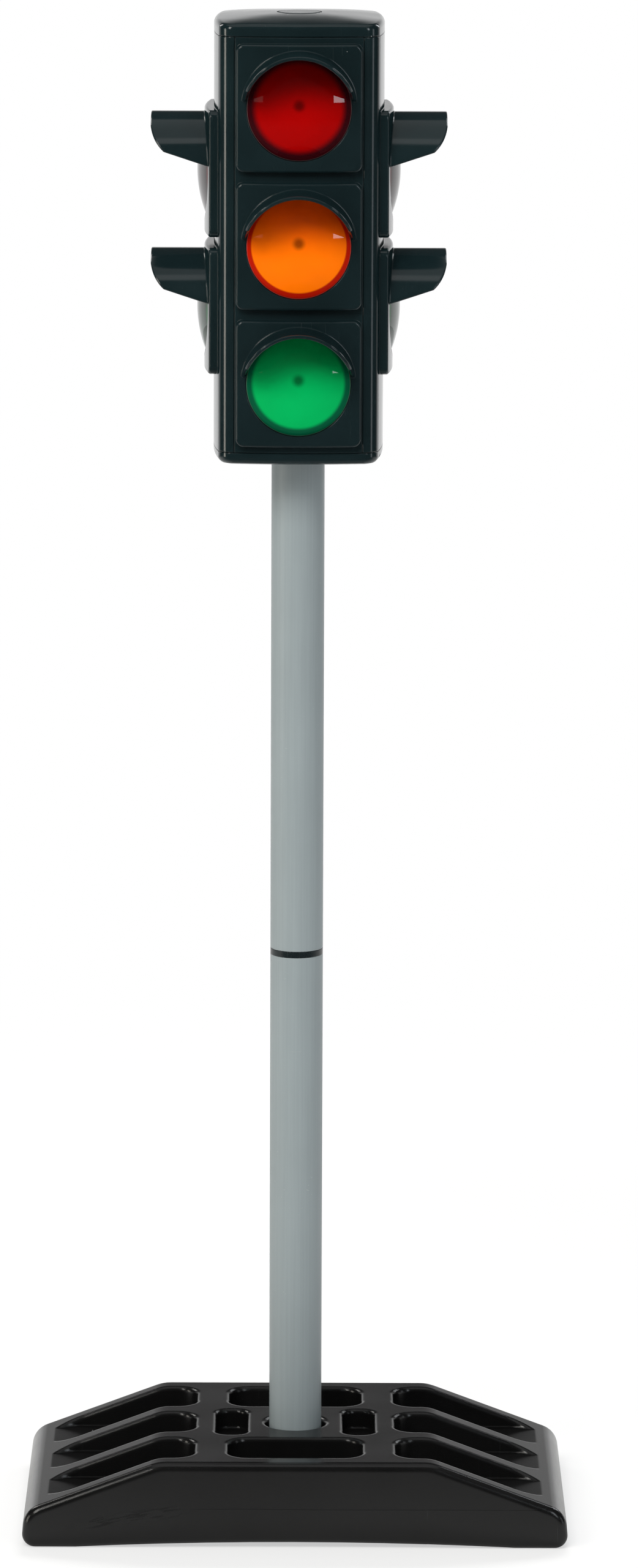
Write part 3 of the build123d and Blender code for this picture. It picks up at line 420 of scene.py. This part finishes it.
def cell_material():
    """Printed sleeve of a battery cell with bare metal ends."""
    material, g = new_material("cell_sleeve")
    place = g.place()
    z = g.parts(place)[2]
    band = g.ramp(z, *CELL_BAND)
    wrinkle = g.noise(g.stretch(place, 60.0, 60.0, 400.0), 1.0, 2.0)
    base = g.mix(band, (0.035, 0.045, 0.060), (0.62, 0.36, 0.10))
    end = g.math("MAXIMUM", g.ramp(z, *CELL_TOP), g.ramp(z, *CELL_FOOT, 1.0, 0.0))
    base = g.mix(end, base, (0.70, 0.70, 0.68))
    bump = g.add("ShaderNodeBump", Strength=0.4, Distance=0.05 * MM, Height=wrinkle,
                 Normal=soft_edges(g, 0.1 * MM))
    shader = g.add("ShaderNodeBsdfPrincipled", Base_Color=base, Roughness=0.28, Metallic=end, Normal=bump)
    finish_material(g, shader)
    return material


# ---------------------------------------------------------------- assign materials
HEAD_BLACK = (0.0062, 0.0138, 0.0155)
LENS_LOOKS = {                   # lower part of the disc, upper part darkened as painted shade of the hood, rim, softness of the disc's edge
    "red": ((0.345, 0.0004, 0.0004), (0.214, 0.0002, 0.0002), (0.030, 0.0012, 0.003), 3.6 * MM),
    "amber": ((0.96, 0.168, 0.0010), (0.72, 0.064, 0.0004), (0.42, 0.008, 0.001), 0.6 * MM),
    "green": ((0.0003, 0.385, 0.090), (0.0002, 0.239, 0.056), (0.0010, 0.080, 0.034), 1.8 * MM),
}
SIDE_LAMPS = {"front": 1.0, "rear": 1.0, "left": 0.5, "right": 0.5}

slot_looks = {
    "head_plastic": moulded("head_gloss", HEAD_BLACK, 0.13, grain=1800.0, grain_depth=0.0008, edge=0.8,
                            dust=0.035),
    "base_plastic": moulded("base_semigloss", (0.0052, 0.0052, 0.0052), 0.18, grain=900.0, grain_depth=0.0012,
                            edge=1.3, dust=0.02, rub=0.4, parting=True),
    "ring_plastic": moulded("ring_semigloss", (0.007, 0.0125, 0.0140), 0.28, edge=0.7),
    "button_plastic": moulded("button_gloss", HEAD_BLACK, 0.18, edge=0.3),
    "reflector_plastic": moulded("reflector_white", (0.78, 0.78, 0.76), 0.25, variation=0.03, rub=0.0,
                                 edge=0.2),
    "led_resin": moulded("led_resin", (0.62, 0.64, 0.62), 0.08, variation=0.05, rub=0.0, edge=0.1),
    "chip": moulded("chip_black", (0.016, 0.016, 0.017), 0.55, grain=2600.0, edge=0.1, rub=0.2),
    "switch_body": moulded("switch_black", (0.02, 0.02, 0.02), 0.4, edge=0.1, rub=0.2),
    "wire_jacket": moulded("wire_red", (0.42, 0.02, 0.018), 0.38, edge=0.05, rub=0.0),
    "holder_plastic": moulded("holder_black", (0.02, 0.02, 0.021), 0.42, grain=1200.0, grain_depth=0.012),
    "pole_plastic": pole_material(),
    "board": board_material(),
    "cell_jacket": cell_material(),
    "spring_steel": metal("spring_bright", (0.72, 0.72, 0.72), 0.22, (300.0, 300.0, 300.0)),
    "contact_metal": metal("contact_nickel", (0.74, 0.73, 0.69), 0.30, (1500.0, 60.0, 60.0)),
    "screw_steel": metal("screw_zinc", (0.66, 0.67, 0.68), 0.30, (900.0, 900.0, 60.0)),
}
slots = {part["node"]: part["material_slot"] for part in frame["record"]["subparts"]}
for name, piece in frame["nodes"].items():
    words = name.split("_")
    if words[-1] == "lens":
        side, colour = words[0], words[1]
        step = {"red": 1, "amber": 0, "green": -1}[colour]
        height = LAMP_MIDDLE + step * LAMP_PITCH * SIDE_LAMPS[side]
        look = lens_material(f"lens_{side}_{colour}", side, height, *LENS_LOOKS[colour])
    else:
        look = slot_looks[slots[name]]
    piece.data.materials.clear()
    piece.data.materials.append(look)
    for face in piece.data.polygons:
        face.material_index = 0


# ---------------------------------------------------------------- spring under the button
def button_coil():
    """The button's spring as a mesh coil in the CAD spring's place, on the cap's body."""
    low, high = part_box("button_spring")
    bottom, top = low[2] + COIL_WIRE, high[2] - COIL_WIRE
    points, faces = [], []
    rise = (top - bottom) / COIL_STEPS
    for step in range(COIL_STEPS + 1):
        turn = radians(360.0 * COIL_TURNS * step / COIL_STEPS)
        for side in range(COIL_SIDES):
            angle = radians(360.0 * side / COIL_SIDES)
            reach = COIL_RADIUS + COIL_WIRE * cos(angle)
            climb = bottom + rise * step + COIL_WIRE * sin(angle)
            points.append((reach * cos(turn), reach * sin(turn), climb))
    for step in range(COIL_STEPS):
        for side in range(COIL_SIDES):
            a, b = step * COIL_SIDES + side, step * COIL_SIDES + (side + 1) % COIL_SIDES
            faces.append((b, a, a + COIL_SIDES, b + COIL_SIDES))
    faces.append(tuple(range(COIL_SIDES)))
    faces.append(tuple(reversed(range(COIL_STEPS * COIL_SIDES, (COIL_STEPS + 1) * COIL_SIDES))))
    mesh = bpy.data.meshes.new("button_coil")
    mesh.from_pydata(points, [], faces)
    for face in mesh.polygons:
        face.use_smooth = True
    mesh.materials.append(slot_looks["spring_steel"])
    coil = bpy.data.objects.new("button_coil", mesh)
    bpy.context.scene.collection.objects.link(coil)
    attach(coil, "cap")
    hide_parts("button_spring")
    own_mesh(coil)


button_coil()


# ---------------------------------------------------------------- stage
def make_floor():
    """Round floor that glows partly white to the camera near the object, lightening its shadow, and fades to
    the backdrop's white further out.
    """
    points = [(0.0, 0.0, 0.0)]
    for ring in range(1, FLOOR_RINGS + 1):
        reach = FLOOR_RADIUS * ring / FLOOR_RINGS
        for spoke in range(FLOOR_SPOKES):
            angle = radians(360.0 * spoke / FLOOR_SPOKES)
            points.append((reach * cos(angle), reach * sin(angle), 0.0))
    faces = [(0, 1 + s, 1 + (s + 1) % FLOOR_SPOKES) for s in range(FLOOR_SPOKES)]
    for ring in range(FLOOR_RINGS - 1):
        inner = 1 + ring * FLOOR_SPOKES
        outer = inner + FLOOR_SPOKES
        for s in range(FLOOR_SPOKES):
            t = (s + 1) % FLOOR_SPOKES
            faces.append((inner + s, outer + s, outer + t, inner + t))
    mesh = bpy.data.meshes.new("floor")
    mesh.from_pydata(points, [], faces)
    floor = bpy.data.objects.new("floor", mesh)
    bpy.context.scene.collection.objects.link(floor)
    material, g = new_material("floor_pale")
    place = g.place()
    away = g.add("ShaderNodeVectorMath", {"operation": "LENGTH"})
    g.plug(away.inputs[0], place)
    fade = g.ramp(away.outputs["Value"], *FLOOR_FADE, FLOOR_FADE_START, 1.0)
    rays = g.add("ShaderNodeLightPath").outputs
    cloud = g.noise(place, 3.0, 2.0)
    base = g.vector_math("SCALE", FLOOR_COLOUR)
    g.plug(base.node.inputs["Scale"], g.ramp(cloud, 0.3, 0.7, 0.985, 1.0))
    mirrored = g.ramp(g.parts(place)[1], *FLOOR_MIRRORED_Y, *FLOOR_MIRRORED)
    seen = g.math("ADD", g.math("MULTIPLY", mirrored, rays["Is Glossy Ray"]),
                  g.math("SUBTRACT", 1.0, rays["Is Glossy Ray"]))
    dimmed = g.vector_math("SCALE", base)
    g.plug(dimmed.node.inputs["Scale"], seen)
    diffuse = g.add("ShaderNodeBsdfPrincipled", Base_Color=dimmed, Roughness=0.85)
    glow = g.add("ShaderNodeEmission", Color=(1.0, 1.0, 1.0), Strength=1.0)
    mixed = g.add("ShaderNodeMixShader")
    g.plug(mixed.inputs[0], g.math("MULTIPLY", fade, rays["Is Camera Ray"]))
    g.plug(mixed.inputs[1], diffuse.outputs[0])
    g.plug(mixed.inputs[2], glow.outputs[0])
    finish_material(g, mixed)
    mesh.materials.append(material)


def make_world():
    """Dim room for light and reflections with a bright low wall behind, plain white to the camera."""
    world = bpy.data.worlds.new("studio")
    world.use_nodes = True
    bpy.context.scene.world = world
    g = Graph(world.node_tree)
    rays = g.add("ShaderNodeLightPath").outputs
    _, y, z = g.parts(g.add("ShaderNodeTexCoord").outputs["Generated"])
    wall = g.math("MULTIPLY", g.ramp(z, 0.0, WALL_TOP, 1.0, 0.0), g.ramp(y, *WALL_Y))
    glossy = g.math("ADD", g.math("MULTIPLY", wall, WALL_GLOW), ROOM_GLOW)
    glossy = g.math("MULTIPLY", glossy, rays["Is Glossy Ray"])
    soft = g.math("MULTIPLY", g.math("SUBTRACT", 1.0, rays["Is Glossy Ray"]), ROOM_SOFT)
    room = g.math("ADD", glossy, soft)
    strength = g.math("ADD", g.math("MULTIPLY", room, g.math("SUBTRACT", 1.0, rays["Is Camera Ray"])),
                      rays["Is Camera Ray"])
    shader = g.add("ShaderNodeBackground", Color=(1.0, 1.0, 1.0), Strength=strength)
    output = g.add("ShaderNodeOutputWorld")
    g.tree.links.new(shader.outputs[0], output.inputs["Surface"])


def softbox(name, azimuth, elevation, distance, width, height, watts, colour, target, mirrored):
    """Area light round the object; azimuth 0 is in front of it and positive is to its right."""
    light = bpy.data.lights.new(name, "AREA")
    light.shape = "RECTANGLE"
    light.size = width
    light.size_y = height
    light.energy = watts
    light.color = colour
    lamp = bpy.data.objects.new(name, light)
    bpy.context.scene.collection.objects.link(lamp)
    a, e = radians(azimuth), radians(elevation)
    offset = Vector((sin(a) * cos(e), -cos(a) * cos(e), sin(e))) * distance
    lamp.location = Vector((0.0, 0.0, target)) + offset
    lamp.rotation_euler = offset.to_track_quat("Z", "Y").to_euler()
    lamp.visible_camera = False
    lamp.visible_glossy = mirrored


make_floor()
make_world()
for light in LIGHTS:
    softbox(*light)

scene = bpy.context.scene
scene.view_settings.view_transform = "Standard"
camera_data = bpy.data.cameras.new("camera")
camera_data.lens = CAMERA_LENS
camera_data.shift_x = CAMERA_SHIFT
camera_data.clip_end = 100.0
camera = bpy.data.objects.new("camera", camera_data)
scene.collection.objects.link(camera)
camera.location = CAMERA_PLACE
camera.rotation_euler = (radians(90.0 - CAMERA_PITCH), radians(CAMERA_ROLL), 0.0)
scene.camera = camera
